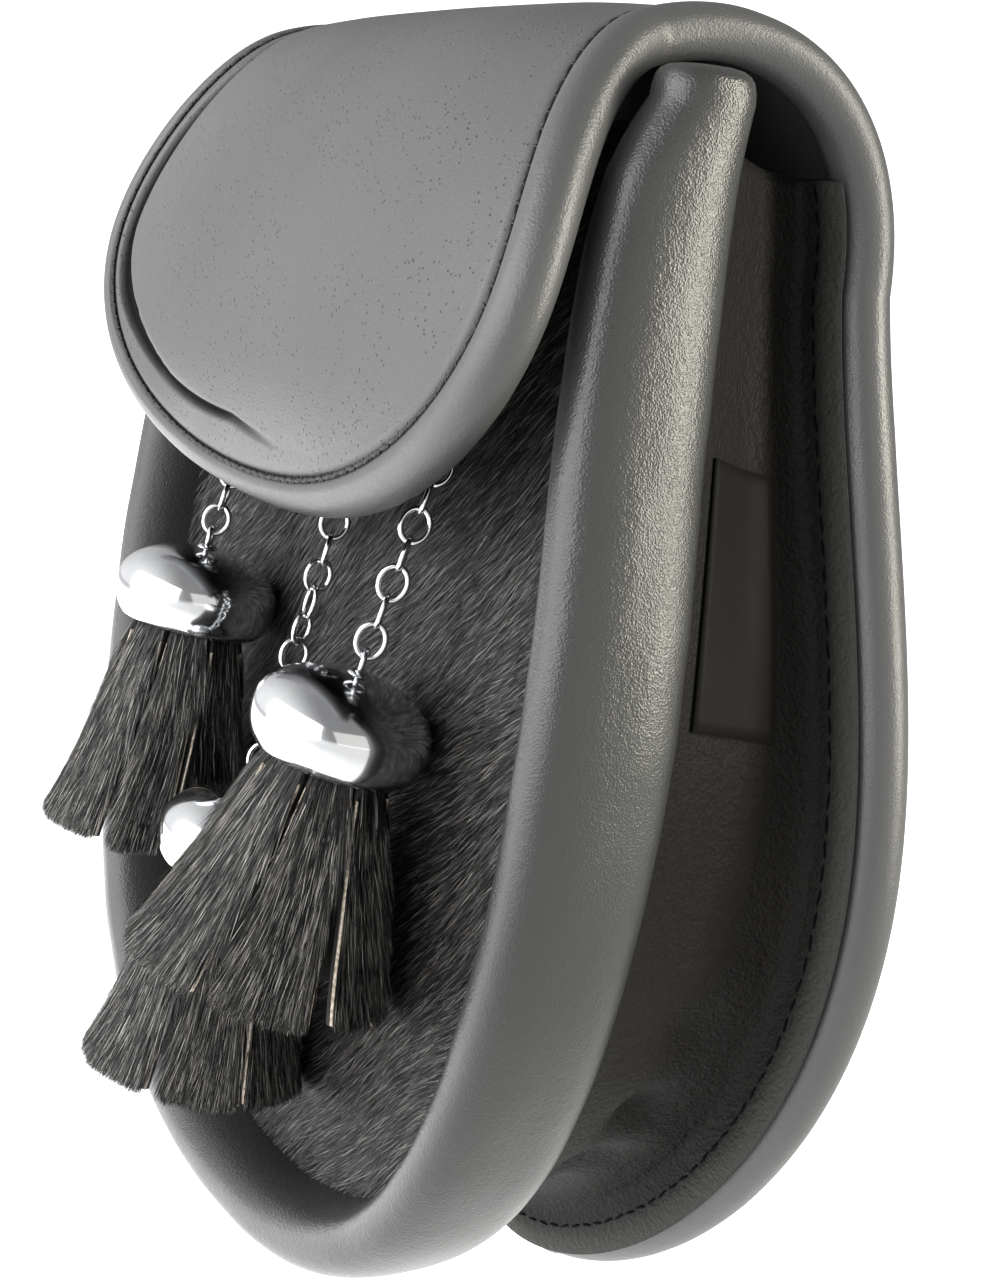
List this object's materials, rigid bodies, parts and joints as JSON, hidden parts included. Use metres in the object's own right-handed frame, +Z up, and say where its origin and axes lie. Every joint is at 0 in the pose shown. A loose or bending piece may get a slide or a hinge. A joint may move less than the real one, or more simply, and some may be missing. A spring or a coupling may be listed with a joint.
{
  "type": "sporran pouch",
  "caption": "Leather sporran pouch with a wrapped-over flap, padded front frame, fur front panel and chain-hung tassels with domed metal caps.",
  "frame": {"origin": "middle of the belt loop's slot on the back, where a belt or strap holds the pouch up", "axes": "+Z up along the pouch's height, +Y towards the wearer (back), the flap and tassels face -Y, +X to the right when the front is looked at"},
  "size_m": [0.1626, 0.1051, 0.2199],
  "materials": {
    "leather": "smooth black leather with a soft shine and fine pores",
    "gusset_leather": "fine-grained brown-black leather, less shiny",
    "fur": "short black fur with a grey sheen along the hair",
    "chrome": "polished"
  },
  "bodies": {
    "root": {"back_flap": "leather", "front_frame": "leather", "front_panel": "fur", "gusset": "gusset_leather", "gusset_patch": "gusset_leather", "belt_loop": "leather", "chain_anchor_left": "chrome", "chain_left": "chrome", "cap_left": "chrome", "tassel_left": "fur", "chain_anchor_middle": "chrome", "chain_middle": "chrome", "cap_middle": "chrome", "tassel_middle": "fur", "chain_anchor_right": "chrome", "chain_right": "chrome", "cap_right": "chrome", "tassel_right": "fur"}
  },
  "joints": []
}
